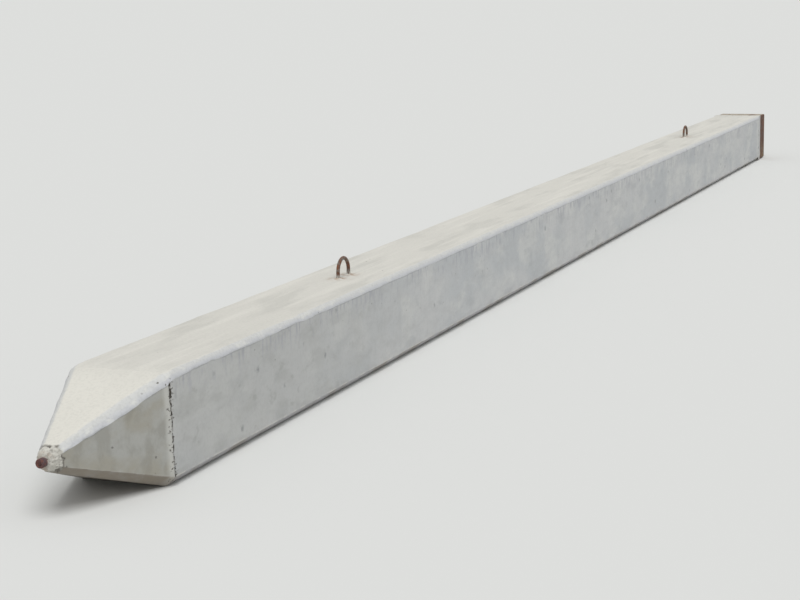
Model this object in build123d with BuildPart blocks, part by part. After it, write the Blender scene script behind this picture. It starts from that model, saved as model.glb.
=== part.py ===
import math
import os

from build123d import *

# A square driven foundation pile of reinforced concrete, lying on its underside.
# X runs along the pile: the steel splice box at the head is at -X and the toe is at +X.
# Z is up, the ground is Z = 0, and the origin is under the middle of the pile.
# All sizes are in millimetres.

# Concrete body
section = 350.0
pile_length = 10200.0
lower_arris = 30.0
upper_arris = 18.0
collar_length = 60.0

# Toe: a four-sided taper to a small blunt nose round the pin, its four arrises cut off all the way
toe_length = 420.0
nose_cover = 14.0
nose_arris = 18.0

# Steel splice box at the head: an end plate, four side plates and four corner welds
box_setback = 5.0
box_depth = 200.0
box_gap = 4.0
end_plate_thickness = 10.0
side_plate_thickness = 8.0

# Dowel hole through the end plate and on into the concrete
dowel_radius = 16.0
dowel_depth = 120.0

# Steel pin at the toe
pin_radius = 14.0
pin_projection = 25.0
pin_embedment = 350.0
pin_chamfer = 3.0

# Lifting loops bent from bar, with straight legs cast in
loop_bar_radius = 7.0
loop_half_width = 50.0
loop_stand = 23.0
loop_embedment = 200.0
loop_distance = 2110.0

# Places worked out from the sizes above
head_x = -(pile_length + pin_projection) / 2
nose_x = head_x + pile_length
toe_base_x = nose_x - toe_length
plates_x = head_x + end_plate_thickness
collar_x = head_x + box_depth + box_gap
shaft_x = collar_x + collar_length
axis_height = section / 2
box_width = section - 2 * box_setback
plug_width = box_width - 2 * side_plate_thickness
nose_width = 2 * (pin_radius + nose_cover)
loop_foot_z = section - loop_embedment
loop_places = {"head": head_x + loop_distance, "toe": nose_x - loop_distance}

# Quarter turns about the pile's axis at which the box's plates and welds stand, seen from the head
plate_turns = {"top": 0, "right": 90, "bottom": 180, "left": 270}
weld_turns = {"top_left": 0, "top_right": 90, "bottom_right": 180, "bottom_left": 270}


def across(x, turn=0.0):
    """The plane across the pile at x, with its origin on the pile's axis and its own y upwards before the turn."""
    angle = math.radians(turn)
    return Plane(origin=(x, 0, axis_height), x_dir=(0, math.cos(angle), math.sin(angle)), z_dir=(1, 0, 0))


def outline(width, upper, lower):
    """Draws the pile's outline in the open sketch: a square with its two upper and its two lower corners cut off."""
    Rectangle(width, width)
    chamfer(vertices().group_by(Axis.Y)[-1], upper)
    chamfer(vertices().group_by(Axis.Y)[0], lower)


def keep(builder, name):
    """Labels a finished piece and writes it under its own name."""
    builder.part.label = name
    export_step(builder.part, f"parts/{name}.step")


os.makedirs("parts", exist_ok=True)

# End plate, with its corners rounded to the corner welds behind it
with BuildPart() as end_plate:
    with BuildSketch(across(head_x)):
        RectangleRounded(box_width, box_width, side_plate_thickness)
        Circle(dowel_radius, mode=Mode.SUBTRACT)
    extrude(amount=end_plate_thickness)
keep(end_plate, "end_plate")

# Four side plates, edge to edge round the concrete, with an open groove at each corner
for place, turn in plate_turns.items():
    with BuildPart() as side_plate:
        with BuildSketch(across(plates_x, turn)):
            with Locations((0, (plug_width + side_plate_thickness) / 2)):
                Rectangle(plug_width, side_plate_thickness)
        extrude(amount=box_depth - end_plate_thickness)
    keep(side_plate, f"side_plate_{place}")

# A weld fills each corner groove as a quarter round
for place, turn in weld_turns.items():
    with BuildPart() as corner_weld:
        with BuildSketch(across(plates_x, turn)):
            corner = plug_width / 2
            with BuildLine():
                Line((corner, corner), (corner + side_plate_thickness, corner))
                CenterArc((corner, corner), side_plate_thickness, 0, 90)
                Line((corner, corner + side_plate_thickness), (corner, corner))
            make_face()
        extrude(amount=box_depth - end_plate_thickness)
    keep(corner_weld, f"corner_weld_{place}")

# Toe pin, set in the nose along the pile's axis
with BuildPart() as toe_pin:
    with BuildSketch(across(nose_x - pin_embedment)):
        Circle(pin_radius)
    extrude(amount=pin_embedment + pin_projection)
    chamfer(toe_pin.edges().group_by(Axis.X)[-1], pin_chamfer)
keep(toe_pin, "toe_pin")

# Two lifting loops: upright legs, joined above the top face by an arch along the pile
for place, x in loop_places.items():
    with BuildPart() as lifting_loop:
        with BuildSketch(Plane(origin=(x, 0, loop_foot_z))):
            with Locations((-loop_half_width, 0), (loop_half_width, 0)):
                Circle(loop_bar_radius)
        extrude(amount=loop_embedment + loop_stand)
        with BuildSketch(Plane(origin=(x, 0, section + loop_stand))):
            with Locations((loop_half_width, 0)):
                Circle(loop_bar_radius)
        revolve(axis=Axis((x, 0, section + loop_stand), (0, -1, 0)), revolution_arc=180)
    keep(lifting_loop, f"lifting_loop_{place}")

# Concrete body, cast in one piece round the box, the loops and the pin
with BuildPart() as concrete_body:
    # Plug that fills the splice box
    with BuildSketch(across(plates_x)):
        Rectangle(plug_width, plug_width)
    extrude(amount=collar_x - plates_x)
    # Square collar beside the box
    with BuildSketch(across(collar_x)):
        Rectangle(section, section)
    extrude(amount=collar_length)
    # Shaft, with its lower arrises cut off by the mould and its upper ones by the trowel
    with BuildSketch(across(shaft_x)):
        outline(section, upper_arris, lower_arris)
    extrude(amount=toe_base_x - shaft_x)
    # Toe, tapered on all four sides from the shaft's outline to the nose
    with BuildSketch(across(toe_base_x)):
        outline(section, upper_arris, lower_arris)
    with BuildSketch(across(nose_x)):
        outline(nose_width, nose_arris, nose_arris)
    loft(ruled=True)
    # Blind dowel hole behind the end plate
    with BuildSketch(across(head_x)):
        Circle(dowel_radius)
    extrude(amount=dowel_depth, mode=Mode.SUBTRACT)
    # Seat of the toe pin
    with BuildSketch(across(nose_x - pin_embedment)):
        Circle(pin_radius)
    extrude(amount=pin_embedment, mode=Mode.SUBTRACT)
    # Seats of the lifting loops' legs
    for x in loop_places.values():
        with BuildSketch(Plane(origin=(x, 0, loop_foot_z))):
            with Locations((-loop_half_width, 0), (loop_half_width, 0)):
                Circle(loop_bar_radius)
        extrude(amount=loop_embedment, mode=Mode.SUBTRACT)
keep(concrete_body, "concrete_body")
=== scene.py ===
# A square driven foundation pile of reinforced concrete, lying on its underside.
# X runs along the pile, with the steel splice box at -X and the pointed toe at +X. Z is up, and +Y is the left,
# seen from the box towards the toe.
# Sizes are in metres, and those of the finishes' patterns in millimetres.

import itertools
import math

import bpy
import numpy as np
from mathutils import Matrix, Vector


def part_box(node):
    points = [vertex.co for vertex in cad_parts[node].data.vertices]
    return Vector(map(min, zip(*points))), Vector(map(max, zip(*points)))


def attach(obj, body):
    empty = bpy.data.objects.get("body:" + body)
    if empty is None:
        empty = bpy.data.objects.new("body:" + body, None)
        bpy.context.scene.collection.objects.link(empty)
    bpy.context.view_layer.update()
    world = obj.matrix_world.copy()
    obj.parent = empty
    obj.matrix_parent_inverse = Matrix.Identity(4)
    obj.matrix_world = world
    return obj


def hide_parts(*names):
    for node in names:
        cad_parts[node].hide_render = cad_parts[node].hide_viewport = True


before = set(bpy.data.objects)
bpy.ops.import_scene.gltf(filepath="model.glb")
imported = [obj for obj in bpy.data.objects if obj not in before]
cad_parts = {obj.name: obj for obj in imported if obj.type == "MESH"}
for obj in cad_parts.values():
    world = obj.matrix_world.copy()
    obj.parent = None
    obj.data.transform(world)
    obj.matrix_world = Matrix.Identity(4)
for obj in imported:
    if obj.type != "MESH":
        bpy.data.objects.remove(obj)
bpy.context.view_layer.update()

# Sizes of the solids that their boxes don't give
TOE_LENGTH = 0.420
COLLAR_LENGTH = 0.060
BOX_GAP = 0.004
PLUG_HALF = 0.162
DOWEL_RADIUS = 0.016
DOWEL_DEPTH = 0.120
LOWER_ARRIS = 0.030
NOSE_ARRIS = 0.018
NOSE_HALF = 0.028
BAR_RADIUS = 0.007
LOOP_HALF = 0.050
LOOP_FOOT_Z = 0.150
WELD_SIZE = 0.008

# Places read from the frame
body_low, body_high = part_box("concrete_body")
plate_low, plate_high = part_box("end_plate")
side_low, side_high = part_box("side_plate_right")
pin_low, pin_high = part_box("toe_pin")
SIDE = body_high.z
AXIS = SIDE / 2
HALF = SIDE / 2
NOSE_X = body_high.x
TOE_X = NOSE_X - TOE_LENGTH
BOX_END_X = side_high.x
COLLAR_X = BOX_END_X + BOX_GAP
SHAFT_X = COLLAR_X + COLLAR_LENGTH
DOWEL_END_X = plate_low.x + DOWEL_DEPTH
PLUG_X = plate_high.x
PIN_RADIUS = pin_high.y
LOOPS = {name: (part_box(name)[0].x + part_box(name)[1].x) / 2 for name in ("lifting_loop_head", "lifting_loop_toe")}
LEGS_X = [centre + leg for centre in LOOPS.values() for leg in (-LOOP_HALF, LOOP_HALF)]

# What the hand leaves beyond the solids
WORN_CORNER = 0.004     # wear of the collar's upper corners
MOULD_CORNER = 0.003    # wear of its lower ones
STRUCK_ARRIS = 0.021    # upper arrises of the shaft
NOSE_BREAK = 0.034      # how far back from the nose the smooth skin has broken away
VOID_REACH = 0.028      # how far the crumbling spreads from a joint of the mould
ROUNDED = 1.9           # bend with which a corner runs smoothly into its side
RIPPLE = 0.0046         # distance from one weld ripple to the next

# Points of a ring, counted from the top left corner's lower end over the top and round
ON_CORNER = 8
ON_SIDE = 28
TOP_RIGHT = ON_CORNER + ON_SIDE
RIGHT_SIDE = TOP_RIGHT + ON_CORNER
BOTTOM_RIGHT = 2 * TOP_RIGHT
AROUND = 4 * TOP_RIGHT
LEFT_SIDE = AROUND - ON_SIDE

FLOOR_COLOUR = "#dddedc"


# ---------------------------------------------------------------- shapes

def lumps(points, size, seed):
    """Noise from -1 to 1: values drawn at the corners of a lattice of the given size, eased between them."""
    lattice = np.random.default_rng(seed).uniform(-1.0, 1.0, (32, 32, 32))
    place = points / size
    low = np.floor(place).astype(int)
    part = place - low
    part = part * part * (3.0 - 2.0 * part)
    total = np.zeros(points.shape[:-1])
    for corner in itertools.product((0, 1), repeat=3):
        weight = np.prod(np.where(corner, part, 1.0 - part), axis=-1)
        index = (low + corner) % 32
        total += weight * lattice[index[..., 0], index[..., 1], index[..., 2]]
    return total


def waves(points, *noises):
    """A sum of noises, each given by its height, its size, which may differ along x, y and z, and its seed."""
    return sum(height * lumps(points, np.array(size), seed) for height, size, seed in noises)


def ease(value, low, high):
    """Rises smoothly from 0 at low to 1 at high, and stays there."""
    part = np.clip((value - low) / (high - low), 0.0, 1.0)
    return part * part * (3.0 - 2.0 * part)


def bell(distance, width):
    """Falls off on both sides from 1 at no distance, as e to the minus square of distance over width."""
    return np.exp(-((distance / width) ** 2))


def square_rings(half, cut, bend):
    """Squares with worn corners, one row of points for each half width. Corner point t, from 0 at the corner's first
    end to 1 at its last, lies at half - cut * t ** bend along the first side and half - cut * (1 - t) ** bend along
    the last, with a bend for each end: 1 leaves a straight cut and 2 runs smoothly into the side. The points along a
    side are closer together towards its corners, and its end points stand close by them, so that the edge is crisp.
    Corners run top left, top right, bottom right, bottom left."""
    turn = np.linspace(0.0, 1.0, ON_CORNER)
    along = np.linspace(0.0, 1.0, ON_SIDE)
    along = 0.45 * along + 0.55 * (0.5 - 0.5 * np.cos(math.pi * along))
    along[[0, -1]] = 0.004, 0.996
    half = half[:, None]
    corners = []
    for k in range(4):
        c = cut[:, k, None]
        out = half - c * turn ** bend[:, k, 0, None]
        up = half - c * (1.0 - turn) ** bend[:, k, 1, None]
        cosine, sine = math.cos(k * math.pi / 2), math.sin(k * math.pi / 2)
        corners.append(np.stack([out * cosine - up * sine, out * sine + up * cosine], -1))
    rows = []
    for k in range(4):
        start, end = corners[k][:, -1, None], corners[(k + 1) % 4][:, 0, None]
        rows += [corners[k], start + (end - start) * along[None, :, None]]
    return np.concatenate(rows, axis=1)


def tube(path, radius, side, around=28):
    """Rings of the given radius round a path, square to it: point t of a ring lies at the radius times the cosine of
    its angle along side and the sine along the direction square to side and path. The path never turns out of the
    plane square to side."""
    way = np.gradient(path, axis=0)
    way /= np.linalg.norm(way, axis=1, keepdims=True)
    side = np.broadcast_to(side, path.shape)
    other = np.cross(way, side)
    turn = np.linspace(0.0, 2.0 * math.pi, around, endpoint=False)[None, :, None]
    radius = np.broadcast_to(radius, (len(path), around))[..., None]
    return path[:, None] + radius * (np.cos(turn) * side[:, None] + np.sin(turn) * other[:, None])


def roughen(rings, path, height):
    """Moves each point of a tube's rings straight away from its path by its own height."""
    out = rings - path[:, None]
    out /= np.linalg.norm(out, axis=-1, keepdims=True)
    return rings + out * height[..., None]


def add_piece(name, grid, material, replaces=(), marks=None):
    """Makes a closed mesh from rings of points: grid[i, j] is point j of ring i, each ring closes on itself, and the
    first and last rings are closed by a point at their middle. Marks are numbers for each point, which its material
    reads by name."""
    rings, around = grid.shape[:2]
    points = np.concatenate([grid.reshape(-1, 3), grid[:1].mean(1), grid[-1:].mean(1)])
    i, j = np.meshgrid(np.arange(rings - 1), np.arange(around), indexing="ij")
    k = (j + 1) % around
    quads = np.stack([i * around + j, i * around + k, (i + 1) * around + k, (i + 1) * around + j], -1).reshape(-1, 4)
    j = np.arange(around)
    k = (j + 1) % around
    first = np.stack([np.full(around, rings * around), k, j], -1)
    last = np.stack([np.full(around, rings * around + 1), (rings - 1) * around + j, (rings - 1) * around + k], -1)
    mesh = bpy.data.meshes.new(name)
    mesh.from_pydata(points.tolist(), [], quads.tolist() + first.tolist() + last.tolist())
    mesh.shade_smooth()
    for mark, values in (marks or {}).items():
        whole = np.concatenate([values.ravel(), values[:1].mean(1), values[-1:].mean(1)])
        mesh.attributes.new(mark, "FLOAT", "POINT").data.foreach_set("value", whole.astype(np.float32))
    piece = bpy.data.objects.new(name, mesh)
    bpy.context.scene.collection.objects.link(piece)
    mesh.materials.append(material)
    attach(piece, "root")
    if replaces:
        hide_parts(*replaces)
    return piece


# ---------------------------------------------------------------- finishes

def colour(text):
    """An sRGB colour such as #b4b6b3 as the linear one that a shader takes."""
    parts = [int(text[i:i + 2], 16) / 255 for i in (1, 3, 5)]
    return tuple(p / 12.92 if p <= 0.04045 else ((p + 0.055) / 1.055) ** 2.4 for p in parts) + (1.0,)


def node(owner, kind, inputs=(), **settings):
    """Adds one shader node with its settings to a material or world, and sets or links each of its inputs."""
    made = owner.node_tree.nodes.new("ShaderNode" + kind)
    for name, value in settings.items():
        setattr(made, name, value)
    for key, value in dict(inputs).items():
        if isinstance(value, bpy.types.NodeSocket):
            owner.node_tree.links.new(value, made.inputs[key])
        else:
            made.inputs[key].default_value = value
    return made


def start(name):
    """A new material and its Object coordinates in millimetres."""
    material = bpy.data.materials.new(name)
    material.use_nodes = True
    material.node_tree.nodes.clear()
    metres = node(material, "TexCoord").outputs["Object"]
    place = node(material, "VectorMath", {0: metres, 1: (1000.0, 1000.0, 1000.0)}, operation="MULTIPLY").outputs[0]
    return material, place


def product(material, *values):
    """The product of masks and numbers."""
    result = values[0]
    for value in values[1:]:
        result = node(material, "Math", {0: result, 1: value}, operation="MULTIPLY").outputs[0]
    return result


def patches(material, place, size, low, high, most=1.0, detail=4.0, roughness=0.55):
    """A mask of uneven patches: noise with the given size in millimetres along x, y and z, eased from 0 to most."""
    scaled = node(material, "VectorMath", {0: place, 1: [1.0 / s for s in size]}, operation="MULTIPLY").outputs[0]
    noise = node(material, "TexNoise", {"Vector": scaled, "Scale": 1.0, "Detail": detail, "Roughness": roughness})
    eased = {"Value": noise.outputs["Fac"], "From Min": low, "From Max": high, "To Max": most}
    return node(material, "MapRange", eased, interpolation_type="SMOOTHSTEP").outputs[0]


def verge(material, value, low, high, uneven=0.0, by=0.0):
    """A mask with a soft edge: it rises from 0 to 1 as a value goes from low to high, or falls where low is the
    larger. An uneven pattern is first added to the value, times a number, so that the edge wanders."""
    moved = node(material, "Math", {0: uneven, 1: by, 2: value}, operation="MULTIPLY_ADD").outputs[0]
    eased = {"Value": moved, "From Min": low, "From Max": high}
    return node(material, "MapRange", eased, interpolation_type="SMOOTHSTEP").outputs[0]


def pits(material, place, spacing, radius, share, stretch=(1.0, 1.0, 1.0), floor=0.5):
    """A mask of separate small pits. Space is cut into cells of the given spacing in millimetres, and a share of them
    hold a pit each, which is between half the given radius and a little over it, and longer where the stretch is
    more than 1. It is deepest within the floor's share of its radius. Its outline is uneven, because the place is
    first shifted by noise."""
    noise = node(material, "TexNoise", {"Vector": place, "Scale": 0.8 / radius, "Detail": 2.0}).outputs["Color"]
    shifted = {0: noise, 1: 3 * [1.5 * radius], 2: place}
    shifted = node(material, "VectorMath", shifted, operation="MULTIPLY_ADD").outputs[0]
    scaled = {0: shifted, 1: [1.0 / (spacing * s) for s in stretch]}
    scaled = node(material, "VectorMath", scaled, operation="MULTIPLY").outputs[0]
    cells = node(material, "TexVoronoi", {"Vector": scaled, "Scale": 1.0, "Randomness": 1.0}).outputs
    drawn = node(material, "SeparateColor", {"Color": cells["Color"]}).outputs
    size = node(material, "Math", {0: drawn[1], 1: 0.65, 2: 0.5}, operation="MULTIPLY_ADD").outputs[0]
    away = node(material, "Math", {0: cells["Distance"], 1: size}, operation="DIVIDE").outputs[0]
    kept = node(material, "Math", {0: drawn[0], 1: share}, operation="LESS_THAN").outputs[0]
    return product(material, verge(material, away, radius / spacing, floor * radius / spacing), kept)


def coats(material, base, *layers):
    """Lays colours over a base one after another. A layer is its masks, which are multiplied, and then its colour."""
    result = colour(base)
    for *masks, over in layers:
        mixed = {0: product(material, *masks), 6: result, 7: colour(over)}
        result = node(material, "Mix", mixed, data_type="RGBA").outputs[2]
    return result


def relief(material, *forms):
    """Bump from a sum of forms. A form is its masks, which are multiplied, and then its height in millimetres."""
    total = 0.0
    for *masks, height in forms:
        raised = {0: product(material, *masks), 1: height, 2: total}
        total = node(material, "Math", raised, operation="MULTIPLY_ADD").outputs[0]
    return node(material, "Bump", {"Height": total, "Distance": 0.001, "Strength": 1.0}).outputs[0]


def finish_shader(material, **inputs):
    """Ends a material in one surface shader."""
    surface = node(material, "BsdfPrincipled", {k.replace("_", " "): v for k, v in inputs.items()})
    node(material, "OutputMaterial", {"Surface": surface.outputs[0]})
    return material


def cast_concrete():
    """Concrete, cast in a steel mould with its top struck off by hand: smooth pale grey sides with soft clouds, run
    marks and air pits, duller and more mottled towards the toe, a chalky cream top with a plastered edge, crumbly
    lines where the mould's parts met and a broken nose. Painted shade darkens the faces that look down and the foot,
    where it is partly dirt, the lower rim of the plastered edge, a line just under that edge, the crumbled lines, the
    nose's hollows and the dowel hole. Sand grains of under a millimetre are too fine to show, so grain and speckle are
    drawn 3 and 9 mm wide."""
    m, place = start("cast_concrete")
    trowelled, edge, voids, joint, fin, chip, under, toe, low, high, near, tip, nose, hollow_shade, rust, bore = (
        node(m, "Attribute", attribute_name=name).outputs["Fac"]
        for name in (
            "trowelled", "edge", "voids", "joint", "fin", "chip", "under", "toe", "low", "high", "near", "tip",
            "nose", "hollow_shade", "rust", "bore",
        )
    )
    formed = node(m, "Math", {0: 1.0, 1: trowelled}, operation="SUBTRACT").outputs[0]
    off_tip, off_toe, smeared = (
        node(m, "Math", {0: mark, 1: factor, 2: rest}, operation="MULTIPLY_ADD").outputs[0]
        for mark, factor, rest in ((tip, -0.85, 1.0), (toe, -0.7, 1.0), (near, 0.5, 0.3))
    )
    # The skin that the mould left
    clouds = patches(m, place, (620, 620, 420), 0.38, 0.62)
    pale = patches(m, place, (240, 240, 150), 0.44, 0.64, 0.8)
    runs = patches(m, place, (44, 44, 520), 0.50, 0.74, 0.22)
    mottles = patches(m, place, (170, 110, 70), 0.54, 0.70, 0.42, 5.0)
    flecks = patches(m, place, (90, 46, 30), 0.44, 0.64, 0.30, 4.0)
    drips = patches(m, place, (20, 20, 80), 0.50, 0.66, 0.8, 5.0)
    speckle = patches(m, place, (9, 9, 9), 0.45, 0.65, 1.0, 3.0)
    grain = patches(m, place, (3, 3, 3), 0.3, 0.7, 1.0, 2.0)
    holes = pits(m, place, 52, 4.0, 0.45)
    marks = pits(m, place, 80, 12.0, 0.85, (1.6, 1.6, 1.8), 0.15)
    # The struck top, its sweeps along the pile and the plaster down its edges, with painted shade on the plaster's
    # lower rim
    stains = patches(m, place, (420, 110, 300), 0.45, 0.66, 0.8)
    sweeps = product(m, patches(m, place, (700, 38, 38), 0.45, 0.70, 0.6), off_tip)
    smears = patches(m, place, (70, 26, 26), 0.48, 0.68, 0.7)
    plaster = verge(m, edge, 0.0, 0.3, smears, -0.25)
    plaster_rim_shade = verge(m, edge, 0.45, 0.9, smears, -0.3)
    # The broken nose, the chips by the toe's base and the crumbled joints, whose dark trace, spurs and core are painted
    # shade
    crumbs = patches(m, place, (7, 7, 7), 0.52, 0.66, 0.6, 4.0)
    chipped = product(m, chip, pits(m, place, 20, 4.5, 0.8))
    chips = patches(m, place, (9, 9, 12), 0.0, 1.0, 1.0, 5.0, 0.6)
    broken = verge(m, voids, 1.28, 1.37, chips, 0.8)
    shadow_trace = product(m, verge(m, voids, 0.70, 0.93), patches(m, place, (16, 16, 20), 0.34, 0.58, 0.8))
    spurs = product(m, verge(m, voids, 0.15, 0.5), patches(m, place, (28, 7, 7), 0.61, 0.66, 0.9, 3.0))
    look = coats(
        m, "#c8c9c9",
        (clouds, "#bdc0c2"), (pale, "#cfd0ce"), (runs, "#b2b5b6"), (mottles, "#abaeb0"), (formed, flecks, "#b6b7b8"),
        (near, 0.55, "#b0b1af"),
        (near, patches(m, place, (150, 80, 70), 0.46, 0.68, 0.42, 6.0), "#a3a4a1"),
        (near, patches(m, place, (66, 44, 46), 0.57, 0.68, 0.32, 6.0), "#8f908c"),
        (toe, 0.85, "#a5a5a0"),
        (toe, patches(m, place, (150, 150, 110), 0.40, 0.62, 0.8), "#9d998d"),
        (toe, patches(m, place, (60, 60, 90), 0.47, 0.64, 0.5, 6.0), "#8c8a82"),
        (high, drips, 0.8, "#a3a4ac"), (joint, 0.75, "#c4c4bf"),
        # Faces that look down and the foot, darker: painted shade, partly dirt
        (low, 0.5, "#b0afb3"), (low, toe, 0.9, "#867d70"), (low, joint, 0.7, "#bdbab1"),
        (low, patches(m, place, (120, 60, 60), 0.40, 0.62, 0.7), "#979189"),
        (fin, off_toe, patches(m, place, (60, 30, 30), 0.42, 0.56, 0.7), "#cfcec8"),
        # A bluish dark line just under each struck arris band: painted shadow under the band's lip
        (under, patches(m, place, (70, 40, 40), 0.32, 0.58, 0.6), "#8a8c92"),
        (trowelled, 0.95, "#d3d1c9"), (trowelled, stains, 0.7, "#bfbeb7"),
        (trowelled, tip, 0.8, "#dcdad1"), (trowelled, sweeps, "#dddbd3"),
        (plaster, "#cbccca"), (plaster, smears, smeared, "#dadad5"), (plaster, speckle, 0.08, "#a9aaa6"),
        # The bluish grey on the plaster's lower rim, where it turns to face sideways: painted shade
        (plaster, plaster_rim_shade, 0.75, "#c0c2c7"), (speckle, 0.10, "#8f8f8a"),
        # The darkest tone on the nose: painted shade in its hollows and painted shadow under the broken lip
        (nose, 0.85, "#c8c6be"), (nose, crumbs, 0.7, "#98938a"), (hollow_shade, 0.95, "#57524b"),
        (formed, marks, 0.62, "#76787b"), (holes, 0.7, "#6c6a65"),
        (rust, patches(m, place, (22, 22, 60), 0.38, 0.62), "#94704f"),
        # The dark trace, spurs and core of the crumbled joints and the dark dowel hole: painted shade
        (chipped, 0.8, "#6e6a62"), (shadow_trace, "#8a8883"), (spurs, "#5a554d"), (broken, "#3f3a33"), (bore, "#4f4034"),
    )
    bump = relief(
        m, (grain, 0.12), (speckle, 0.12), (mottles, 0.35), (trowelled, sweeps, 0.8),
        (plaster, smears, 0.25), (plaster, speckle, 0.2), (nose, crumbs, -1.2), (holes, -2.0),
        (formed, marks, -0.5), (chipped, -2.0), (shadow_trace, -0.6), (spurs, -1.5), (broken, -3.0),
    )
    rough = node(m, "MapRange", {"Value": clouds, "To Min": 0.78, "To Max": 0.9}).outputs[0]
    return finish_shader(m, Base_Color=look, Roughness=rough, Normal=bump, IOR=1.5)


def rusted_plate():
    """Hot-rolled steel plate, left bare: dark brown with spots of blue-grey mill scale on the end, rust-red round its
    rim and on the sides, with runs and splashes of cement that thicken downwards, a streak of lime below the hole,
    and a film of cement on the upper and lower plates. Rust pits of a millimetre are too fine to show, so they are
    drawn 5 mm wide."""
    m, place = start("rusted_plate")
    # The box in millimetres: its face, its inner end, the height of its middle and its half width
    face, box_end, middle, box_half = (
        round(1000.0 * size, 1) for size in (plate_low.x, BOX_END_X, AXIS, plate_high.y)
    )
    spot_place = (face + 0.5, 3.0, middle + 32.0)
    along, y, z = node(m, "SeparateXYZ", {0: place}).outputs
    aside = node(m, "Math", {0: y}, operation="ABSOLUTE").outputs[0]
    over = node(m, "Math", {0: z, 1: -middle}, operation="ADD").outputs[0]
    above = node(m, "Math", {0: over}, operation="ABSOLUTE").outputs[0]
    wide = node(m, "Math", {0: aside, 1: above}, operation="MAXIMUM").outputs[0]
    brown = patches(m, place, (70, 70, 60), 0.40, 0.62)
    scale = patches(m, place, (44, 44, 56), 0.56, 0.63, 0.8, 3.0)
    bloom = patches(m, place, (40, 40, 44), 0.52, 0.68, 0.8, 5.0)
    pitting = patches(m, place, (5, 5, 5), 0.40, 0.66, 1.0, 4.0)
    runs = patches(m, place, (7, 7, 190), 0.50, 0.72, 0.45, 3.0)
    wander = patches(m, place, (30, 30, 30), 0.0, 1.0)
    front = verge(m, along, face + 6.5, face + 2.5)
    sides = node(m, "Math", {0: 1.0, 1: front}, operation="SUBTRACT").outputs[0]
    rim = product(m, front, verge(m, wide, 150.0, 182.0, wander, 34.0))
    # Cement, thicker towards the foot
    foot = verge(m, over, 50.0, -110.0, wander, 110.0)
    speckled, splashed = (
        node(m, "Math", {0: foot, 1: factor, 2: rest}, operation="MULTIPLY_ADD").outputs[0]
        for factor, rest in ((0.80, 0.12), (0.60, 0.15))
    )
    wash = product(m, foot, patches(m, place, (38, 38, 60), 0.42, 0.62, 0.75, 6.0))
    specks = product(m, patches(m, place, (8, 8, 13), 0.53, 0.66, 0.9, 6.0, 0.7), speckled)
    crumbs = product(m, pits(m, place, 19, 4.5, 0.5, (1.0, 1.0, 1.4), 0.6), splashed)
    film = product(
        m, verge(m, above, box_half - 1.6, box_half - 0.6), patches(m, place, (60, 60, 60), 0.30, 0.48, 0.9, 5.0),
        verge(m, aside, 180.0, 166.0, wander, 26.0), verge(m, along, face - 13.5, face + 2.5, wander, -26.0),
    )
    streak = product(
        m, front, verge(m, aside, 24.0, 14.0, wander, 16.0), verge(m, over, -8.0, -15.0), verge(m, over, -166.0, -100.0)
    )
    from_spot = node(m, "VectorMath", {0: place, 1: spot_place}, operation="DISTANCE").outputs["Value"]
    spot = product(m, front, verge(m, from_spot, 46.0, 22.0, wander, 34.0), 0.75)
    look = coats(
        m, "#6a574a", (brown, "#57473d"), (front, scale, "#56606c"), (sides, 0.85, "#5f3828"),
        (sides, scale, "#4b3a35"), (sides, verge(m, along, box_end - 52.5, box_end - 2.5), 0.6, "#4d4341"),
        (bloom, 0.75, "#7f4a2c"), (rim, 0.85, "#74402a"), (pitting, 0.5, "#3a2d27"),
        (runs, "#86735f"), (spot, "#8c4a2a"), (wash, "#85745a"), (specks, "#a09375"), (crumbs, "#b5aa90"),
        (streak, 0.8, "#b2afa3"), (film, "#b3ab9b"), (film, brown, 0.8, "#a69d8f"), (film, pitting, 0.35, "#8f8677"),
    )
    bump = relief(
        m, (pitting, -0.5), (bloom, 0.4), (scale, -0.25), (specks, 0.5), (crumbs, 1.0), (film, 0.6), (streak, 0.3)
    )
    rough = node(m, "MapRange", {"Value": scale, "To Min": 0.88, "To Max": 0.62}).outputs[0]
    bare = product(m, front, scale, 0.25)
    return finish_shader(m, Base_Color=look, Roughness=rough, Metallic=bare, Normal=bump)


def rusted_weld():
    """Weld metal, ground down roughly to the plates beside it and left bare: dark brown with brighter rust in places,
    fine pits, drawn 3 mm wide so that they show, and splashes of cement."""
    m, place = start("rusted_weld")
    brown = patches(m, place, (40, 16, 16), 0.40, 0.62)
    bloom = patches(m, place, (15, 12, 12), 0.50, 0.66, 0.8, 5.0)
    pitting = patches(m, place, (3, 3, 3), 0.42, 0.66, 1.0, 3.0)
    splashes = patches(m, place, (16, 12, 12), 0.64, 0.69, 0.9, 5.0)
    look = coats(
        m, "#643e2c", (brown, "#4a3229"), (bloom, "#834b2c"), (pitting, 0.5, "#35261f"), (splashes, "#b3ab9b")
    )
    bump = relief(m, (pitting, -0.3), (splashes, 0.7))
    return finish_shader(m, Base_Color=look, Roughness=0.82, Normal=bump)


def rusted_bar(name, dull, rust, bright):
    """Plain round steel bar, hot-rolled and left outside: dull scale under patches of dark and of bright rust, fine
    pits, drawn 3 mm wide so that they show, and a crust of cement low down."""
    m, place = start(name)
    brown = patches(m, place, (26, 26, 20), 0.42, 0.60)
    bloom = patches(m, place, (12, 12, 10), 0.50, 0.66, 0.8, 5.0)
    pitting = patches(m, place, (3, 3, 3), 0.42, 0.66, 1.0, 3.0)
    crust = node(m, "Attribute", attribute_name="crust").outputs["Fac"]
    cement = product(m, crust, patches(m, place, (7, 7, 7), 0.36, 0.52, 1.0, 4.0))
    look = coats(m, dull, (brown, rust), (bloom, bright), (pitting, 0.5, "#40302a"), (cement, "#b9b7b0"))
    bump = relief(m, (pitting, -0.3), (cement, 0.8))
    return finish_shader(m, Base_Color=look, Roughness=0.78, Metallic=0.1, Normal=bump)


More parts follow.
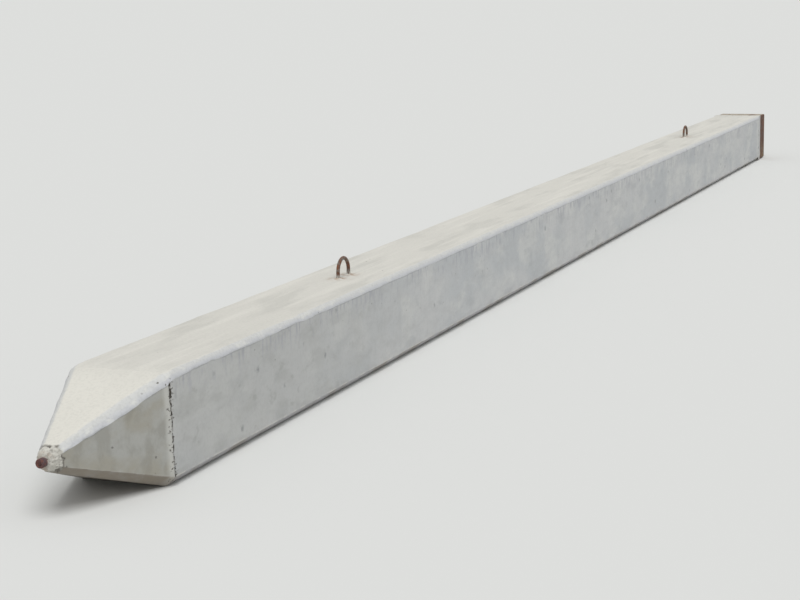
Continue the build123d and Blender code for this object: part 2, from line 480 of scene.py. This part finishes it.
def matt_floor():
    """Board painted matt white: plain and pale, with no gloss."""
    m, _ = start("matt_floor")
    return finish_shader(m, Base_Color=colour(FLOOR_COLOUR), Roughness=1.0, Specular_IOR_Level=0.0)


# ---------------------------------------------------------------- concrete

def spaced(start_x, end_x, step):
    """Places from start to just before the end, at even steps of about the given size."""
    return np.linspace(start_x, end_x, max(2, round((end_x - start_x) / step) + 1))[:-1]


def body_stations():
    """Places of the rings along the shaft and toe, as stretches with a start, an end and a step: closer where the
    form changes, and within some room on both sides of a loop."""
    room = 0.085
    edges = [(SHAFT_X - 0.004, SHAFT_X + 0.014, 0.0018), (SHAFT_X + 0.014, SHAFT_X + 0.060, 0.005)]
    here = SHAFT_X + 0.060
    for x in sorted(LOOPS.values()):
        step = 0.038 if x < 0 else 0.024
        edges += [(here, x - room, step), (x - room, x + room, 0.006)]
        here = x + room
    edges += [(here, TOE_X - 0.05, 0.016), (TOE_X - 0.05, TOE_X - 0.016, 0.004), (TOE_X - 0.016, TOE_X + 0.016, 0.0018)]
    edges += [(TOE_X + 0.016, NOSE_X - 0.06, 0.007), (NOSE_X - 0.06, NOSE_X - 0.002, 0.0015)]
    return np.concatenate([spaced(*edge) for edge in edges] + [[NOSE_X - 0.002]])


def body_corners(x, half, down_toe, on_shaft, on_toe, rough):
    """Cut and bend of each ring's four corners. The upper ones are struck off by hand with a noise along the pile,
    deepest at the toe's base, and the lower ones are cut off by the mould and narrow along the toe. On the collar all
    four are nearly square."""
    rings = len(x)
    along = np.stack([x, np.zeros(rings), np.zeros(rings)], -1)
    cut = np.zeros((rings, 4))
    bend = np.full((rings, 4, 2), ROUNDED)
    for k in range(4):
        uneven = waves(along + 10.0 * k, (1.0, 0.09, 3), (0.6, 0.03, 4))
        if k < 2:
            deeper = 0.0035 * rough * uneven + on_toe * (0.010 - 0.007 * down_toe)
            cut[:, k] = WORN_CORNER + on_shaft * (STRUCK_ARRIS - WORN_CORNER + deeper)
            bend[:, k, k] = ROUNDED - 0.7 * on_shaft
        else:
            lower = LOWER_ARRIS + (NOSE_ARRIS - LOWER_ARRIS) * down_toe
            cut[:, k] = MOULD_CORNER + on_shaft * (lower - MOULD_CORNER)
            bend[:, k] = ROUNDED - 0.85 * on_shaft[:, None]
    return np.minimum(cut, 0.65 * half[:, None]), bend


def ring_weights(weights):
    """Weights for the points of a ring, given by their numbers. The others have none."""
    result = np.zeros(AROUND)
    result[list(weights)] = list(weights.values())
    return result


def build_concrete(material):
    """The concrete as one closed skin: from the bottom of the dowel hole out through the plug in the box, over the
    collar and the shaft, and down the four-sided toe to the nose round the pin. Each ring is a square with its own
    half width and corners. Each of its points is moved out by a sum of noises and bells: waves of the skin, hollows
    in the struck top, lumps along its arrises, a fin where the lower arrises start, a lip beside the box, mortar
    round the loops' legs, and a groove with a raised edge at each joint of the mould. On the broken nose the noises
    are larger and the points move straight away from the pile's axis."""
    # Place and half width of the rings of the dowel hole, the plug and the collar's worn edge, and of those round
    # the pin
    plug_half = PLUG_HALF - 0.0003
    head = np.array([
        (DOWEL_END_X, DOWEL_RADIUS), (PLUG_X + 0.002, DOWEL_RADIUS), (PLUG_X + 0.0002, DOWEL_RADIUS + 0.002),
        (PLUG_X + 0.0002, PLUG_HALF - 0.004), (PLUG_X + 0.001, plug_half), (BOX_END_X, plug_half),
        (COLLAR_X, plug_half), (COLLAR_X, HALF - 0.0026), (COLLAR_X + 0.0005, HALF - 0.0007),
        (COLLAR_X + 0.0014, HALF),
    ])
    nose = np.array([
        (NOSE_X - 0.0005, NOSE_HALF - 0.001), (NOSE_X + 0.0005, NOSE_HALF - 0.004),
        (NOSE_X + 0.0012, NOSE_HALF - 0.009), (NOSE_X + 0.0015, PIN_RADIUS + 0.001),
        (NOSE_X + 0.0010, PIN_RADIUS - 0.004),
    ])
    collar = spaced(COLLAR_X + 0.003, SHAFT_X - 0.004, 0.0035)
    body = body_stations()
    x = np.concatenate([head[:, 0], collar, body, nose[:, 0]])
    down_toe = np.clip((x - TOE_X) / (NOSE_X - TOE_X), 0.0, 1.0)
    half = HALF + (NOSE_HALF - HALF) * down_toe
    rings, first, last = len(x), len(head), len(x) - len(nose)
    half[:first], half[last:] = head[:, 1], nose[:, 1]

    on_shaft = ease(x, SHAFT_X, SHAFT_X + 0.008)
    on_toe = ease(x, TOE_X - 0.05, TOE_X + 0.03)
    rough = 0.4 + 0.6 * ease(x, TOE_X - 1.5, TOE_X - 0.1)
    cut, bend = body_corners(x, half, down_toe, on_shaft, on_toe, rough)
    cut[:first] = WORN_CORNER
    flat = square_rings(half, cut, bend)
    # The rings of the dowel hole, which are round
    bore = 3
    angle = np.arctan2(flat[:bore, :, 1], flat[:bore, :, 0])
    flat[:bore] = half[:bore, None, None] * np.stack([np.cos(angle), np.sin(angle)], -1)

    points = np.concatenate([np.broadcast_to(x[:, None, None], flat.shape[:2] + (1,)), flat], -1)
    points[..., 2] += AXIS
    edge_way = np.roll(flat, -1, axis=1) - np.roll(flat, 1, axis=1)
    out = np.stack([edge_way[..., 1], -edge_way[..., 0]], -1)
    out /= np.maximum(np.linalg.norm(out, axis=-1, keepdims=True), 1e-9)

    # How far each point is moved out, in metres
    top = ease(out[..., 1], 0.55, 0.9) * ease(points[..., 2], AXIS, AXIS + 0.04)
    move = waves(points, (0.00030, 0.11, 11), (0.00018, 0.035, 12))
    move += top * waves(points, (0.0011, (0.35, 0.12, 0.3), 13), (0.0006, (0.09, 0.035, 0.1), 14))
    move -= top * 0.0024 * bell(points[..., 0] - TOE_X, 0.026)
    # The struck arrises, with a lumpy lower rim
    band = np.zeros(AROUND)
    band[:ON_CORNER] = np.linspace(1.0, 0.0, ON_CORNER)
    band[TOP_RIGHT:RIGHT_SIDE] = np.linspace(0.0, 1.0, ON_CORNER)
    rim = band * (on_shaft * (x < NOSE_X))[:, None]
    lower_rim = ring_weights({0: 0.6, 1: 1.0, RIGHT_SIDE - 2: 1.0, RIGHT_SIDE - 1: 0.6})
    drops = np.clip(0.0006 + 0.0022 * lumps(points, 0.026, 27), 0.0, None)
    move += rim * rough[:, None] * (waves(points, (0.0009, 0.034, 15), (0.0003, 0.014, 16)) + lower_rim * drops)
    # The ragged nose, where the smooth skin has broken away
    broken_at = NOSE_X - NOSE_BREAK + waves(points, (0.012, 0.018, 25), (0.008, 0.008, 26))
    ragged = ease(points[..., 0], broken_at - 0.0015, broken_at + 0.0020)
    crumbled = waves(points, (0.45, 0.014, 17), (0.35, 0.0075, 18), (0.2, 0.004, 33))
    undercut = bell(points[..., 0] - broken_at - 0.0025, 0.0035) * ease(lumps(points, 0.011, 35), -0.5, 0.3)
    move = move * (1.0 - 0.7 * ragged) + ragged * (0.0062 * crumbled - 0.0030 - 0.0022 * undercut)
    from_axis = points[..., 1:] - (0.0, AXIS)
    from_axis /= np.maximum(np.linalg.norm(from_axis, axis=-1, keepdims=True), 1e-9)
    way = out + (from_axis - out) * ease(points[..., 0], broken_at - 0.0050, broken_at)[..., None]
    # A fin of cement, broken away in places, where the lower arris starts on each side
    behind_nose = on_shaft * (x < NOSE_X - 0.05)
    fin = ring_weights(dict.fromkeys((BOTTOM_RIGHT - 1, BOTTOM_RIGHT, LEFT_SIDE - 1, LEFT_SIDE), 1.0))
    fin = fin * behind_nose[:, None]
    move += fin * np.clip(0.0003 + 0.0014 * lumps(points, 0.030, 29), 0.0, None)
    # A raised lip of cement beside the box
    lip = (1.0 - ease(x, COLLAR_X + 0.004, COLLAR_X + 0.020))[:, None] * (x >= COLLAR_X)[:, None]
    move += lip * (0.0004 + waves(points, (0.0007, 0.022, 19), (0.0004, 0.009, 28)))
    # Mortar smoothed up round each leg of the loops
    for leg_x in LEGS_X:
        away = np.hypot(points[..., 0] - leg_x, points[..., 1])
        mortar = bell(np.maximum(away - BAR_RADIUS, 0.0), 0.014)
        move += top * 0.0045 * mortar * (1.0 + 0.5 * lumps(points, 0.012, 20))
    # Crumbled lines where the end moulds met the shaft's, leaning a little, with a raised edge beside them
    voids = np.zeros((rings, AROUND))
    joint = np.zeros((rings, AROUND))
    across = points * (0, 1, 1)
    for line, lean, seed, at_toe in ((TOE_X, 0.005, 21, True), (SHAFT_X, -0.005, 23, False)):
        wave = line + lean * (points[..., 2] - AXIS) / HALF + 0.0016 * lumps(points, 0.03, seed)
        away = points[..., 0] - wave
        kept = 1.0 - at_toe * np.maximum(top, rim > 0.0)
        deep = 0.6 + 0.5 * lumps(across, 0.022, seed + 6)
        ridge = ease(away, 0.001, 0.006) * (1.0 - ease(away, 0.016, 0.032)) * kept
        strength = 0.95 + 0.05 * lumps(across, 0.040, seed + 14) - (not at_toe) * (0.01 + 0.05 * top)
        voids = np.maximum(voids, strength * np.clip(1.0 - np.abs(away) / VOID_REACH, 0.0, 1.0) * kept)
        joint = np.maximum(joint, ridge)
        move += 0.0007 * ridge - 0.0030 * deep * kept * bell(away, 0.0035)
    # Nothing moves inside the box, and less of it round the pin
    free = np.zeros(rings)
    free[first - 3:last] = 1.0
    free[last:last + 3] = 1.0, 0.8, 0.5
    recess = 0.0012 + 0.0024 * lumps(points, 0.009, 34)
    points[..., 0] -= ragged * recess * ease(points[..., 0], NOSE_X - 0.03, NOSE_X)
    points[..., 1:] += way * (move * free[:, None])[..., None]
    points[..., 2] = np.maximum(points[..., 2], body_low.z)

    def all_round(values):
        """Each ring's own number on all of its points."""
        return np.repeat(values[:, None], AROUND, axis=1)

    # What the finish reads at each point
    level = points[..., 2]
    near_bars = np.zeros((rings, AROUND))
    for leg_x in LEGS_X:
        away = np.hypot(points[..., 0] - leg_x, points[..., 1] * 0.8)
        near_bars = np.maximum(near_bars, 0.8 * bell(away, 0.030) * (level > AXIS))
    near_box = all_round(0.25 * (1.0 - ease(x, COLLAR_X + 0.002, COLLAR_X + 0.030)))
    near_pin = all_round(0.3 * ease(x, NOSE_X - 0.012, NOSE_X))
    on_side = ease(np.abs(out[..., 0]), 0.8, 0.95)
    # Points just under each struck arris band, where the finish paints a shadow line under the band's lip
    under = ring_weights({RIGHT_SIDE: 1.0, AROUND - 1: 1.0})
    marks = {
        "trowelled": top,
        "edge": rim * (1.0 - ragged),
        # Where the joints crumble, which the finish darkens with painted shade
        "voids": voids,
        "joint": joint,
        "near": all_round(ease(x, TOE_X - 2.6, TOE_X - 0.4)),
        "high": on_side * ease(level, AXIS + 0.05, SIDE - 0.02) * (1.0 - on_toe[:, None]),
        "fin": fin,
        "under": under * behind_nose[:, None],
        "chip": ((rim > 0.0) | (lower_rim > 0.0)) * bell(x - TOE_X - 0.03, 0.07)[:, None],
        "tip": all_round(ease(x, TOE_X - 0.16, TOE_X + 0.14)),
        "nose": ragged,
        # Painted shade in the nose's hollows and painted shadow under the broken lip
        "hollow_shade": np.maximum(0.5 * ragged * ease(-crumbled, 0.05, 0.40), undercut),
        # The dowel hole's walls, painted dark as shade
        "bore": all_round(np.arange(rings) < bore).astype(float),
        "toe": all_round(ease(x, TOE_X - 0.004, TOE_X + 0.010)),
        # Faces that look down and the foot, which the finish darkens: painted shade, partly dirt
        "low": np.clip(ease(-out[..., 1], 0.35, 0.7) + (1.0 - ease(level, 0.0, 0.05)), 0.0, 1.0),
        "rust": np.clip(near_bars + near_box + near_pin, 0.0, 1.0),
    }
    return add_piece("concrete", points, material, ["concrete_body"], marks)


# ---------------------------------------------------------------- steel

def build_loop(name, centre, material):
    """A lifting loop: a bar that rises on one leg, turns through half a circle and goes down the other, thickened by
    cement at its feet."""
    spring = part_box(name)[1].z - LOOP_HALF - BAR_RADIUS
    rise = np.linspace(LOOP_FOOT_Z, spring, 70)[:-1]
    turn = np.linspace(math.pi, 0.0, 60)
    x = np.concatenate([np.full(len(rise), -LOOP_HALF), LOOP_HALF * np.cos(turn), np.full(len(rise), LOOP_HALF)])
    z = np.concatenate([rise, spring + LOOP_HALF * np.sin(turn), rise[::-1]])
    path = np.stack([centre + x, np.zeros_like(x), z], -1)
    rings = tube(path, BAR_RADIUS, np.array([0.0, 1.0, 0.0]))
    crust = (1.0 - ease(z - SIDE, 0.004, 0.020))[:, None] * np.ones(rings.shape[:2])
    height = 0.00022 * lumps(rings, 0.006, 31) + crust * (0.0006 + 0.0006 * lumps(rings, 0.007, 32))
    rings = roughen(rings, path, height)
    return add_piece(name + "_bar", rings, material, [name], {"crust": crust})


def build_pin(material):
    """The toe pin: a bar along the axis whose cut end is uneven and slightly rounded."""
    end = pin_high.x
    x = np.concatenate([
        np.linspace(pin_low.x, NOSE_X - 0.01, 12), np.linspace(NOSE_X - 0.008, end - 0.003, 26),
        end - np.array([0.0015, 0.0006, 0.0002, 0.0, 0.0003]),
    ])
    radius = np.full((len(x), 1), PIN_RADIUS)
    radius[-5:, 0] -= 0.0006, 0.0020, 0.0045, 0.0080, 0.0115
    path = np.stack([x, np.zeros_like(x), np.full_like(x, AXIS)], -1)
    rings = tube(path, radius, np.array([0.0, 1.0, 0.0]), 40)
    shown = ease(x, NOSE_X - 0.01, NOSE_X)[:, None]
    rings = roughen(rings, path, shown * waves(rings, (0.0005, 0.007, 41), (0.0003, 0.003, 42)))
    tip = ease(x, end - 0.002, end)[:, None]
    rings[..., 0] -= tip * 0.0012 * (0.5 + 0.5 * lumps(rings, 0.008, 43))
    crust = (1.0 - ease(x, NOSE_X, NOSE_X + 0.009))[:, None] * np.ones(rings.shape[:2])
    return add_piece("toe_pin_bar", rings, material, ["toe_pin"], {"crust": crust})


def build_weld(name, turns, seed, material):
    """A weld that fills a corner of the box: a quarter circle carried along the corner, ground nearly smooth. Its
    radius wanders a little and keeps what is left of its ripples, the absolute value of a sine along the weld."""
    x = np.linspace(side_low.x, side_high.x, 220)
    turn = np.linspace(0.0, math.pi / 2, 17)
    bow = 0.0022 * np.sin(2.0 * turn)
    where = np.stack(np.broadcast_arrays(x[:, None], turn * WELD_SIZE, 0.0), -1)
    phase = (x[:, None] + bow + 0.0006 * lumps(where, 0.012, seed)) / RIPPLE
    ripple = np.abs(np.sin(math.pi * phase)) - 0.6
    middle = np.sin(turn * 2.0) ** 0.5
    radius = WELD_SIZE + middle * (0.00010 * ripple + 0.00040 * lumps(where, 0.020, seed + 1))
    y = np.concatenate([np.zeros((len(x), 1)), radius * np.cos(turn)], 1) + PLUG_HALF
    z = np.concatenate([np.zeros((len(x), 1)), radius * np.sin(turn)], 1) + PLUG_HALF
    c, s = round(math.cos(turns * math.pi / 2)), round(math.sin(turns * math.pi / 2))
    rings = np.stack([np.broadcast_to(x[:, None], y.shape), y * c - z * s, y * s + z * c + AXIS], -1)
    return add_piece(name + "_bead", rings, material, [name])


plate_look, weld_look = rusted_plate(), rusted_weld()
loop_look = rusted_bar("rusted_loop_bar", "#7b726a", "#6a4634", "#8f5531")
build_concrete(cast_concrete())
for name, centre in LOOPS.items():
    build_loop(name, centre, loop_look)
build_pin(rusted_bar("rusted_pin_bar", "#5c494c", "#65423f", "#825042"))
for turns, corner in enumerate(("top_left", "top_right", "bottom_right", "bottom_left")):
    build_weld("corner_weld_" + corner, turns, 51 + 2 * turns, weld_look)
for name in ("end_plate", "side_plate_top", "side_plate_right", "side_plate_bottom", "side_plate_left"):
    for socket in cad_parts[name].material_slots:
        socket.material = plate_look


# ---------------------------------------------------------------- stage, light and camera

floor_mesh = bpy.data.meshes.new("floor")
floor_mesh.from_pydata([(-300, -300, 0), (300, -300, 0), (300, 300, 0), (-300, 300, 0)], [], [(0, 1, 2, 3)])
floor_mesh.materials.append(matt_floor())
floor = bpy.data.objects.new("floor", floor_mesh)
bpy.context.scene.collection.objects.link(floor)

# Even light from all round, shown to the camera as the floor's own tone
world = bpy.data.worlds.new("studio")
world.use_nodes = True
world.node_tree.nodes.clear()
bpy.context.scene.world = world
rays = node(world, "LightPath").outputs
shown = rays["Is Camera Ray"]
for kind in ("Is Glossy Ray", "Is Transmission Ray"):
    shown = node(world, "Math", {0: shown, 1: rays[kind]}, operation="MAXIMUM").outputs[0]
light = node(world, "Background", {"Color": (1.0, 1.0, 1.0, 1.0), "Strength": 0.50})
seen = node(world, "Background", {"Color": colour(FLOOR_COLOUR)})
either = node(world, "MixShader", {0: shown, 1: light.outputs[0], 2: seen.outputs[0]})
node(world, "OutputWorld", {"Surface": either.outputs[0]})

# A large soft lamp high over the toe's left side
lamp_data = bpy.data.lights.new("key", "SUN")
lamp_data.energy = 1.80
lamp_data.angle = math.radians(40)
lamp = bpy.data.objects.new("key", lamp_data)
lamp.rotation_euler = Vector((0.45, 0.30, 1.0)).to_track_quat("Z", "Y").to_euler()
bpy.context.scene.collection.objects.link(lamp)

# The photograph's camera, turned towards the middle of the pile and drawn closer
eye = Matrix.Translation((9.1423, 2.6972, 1.4783))
ahead = Vector((-0.91353918, -0.36519736, -0.17910071))
right = Vector((-0.36753255, 0.92976938, -0.02118323))
up = Vector((-0.17425842, -0.04647363, 0.98360267))
camera_data = bpy.data.cameras.new("camera")
camera_data.sensor_width = 36.0
camera_data.lens = 79.62
camera_data.clip_end = 1000.0
camera = bpy.data.objects.new("camera", camera_data)
camera.matrix_world = eye @ Matrix((right, up, -ahead)).transposed().to_4x4()
bpy.context.scene.collection.objects.link(camera)
bpy.context.scene.camera = camera
bpy.context.scene.view_settings.view_transform = "Standard"
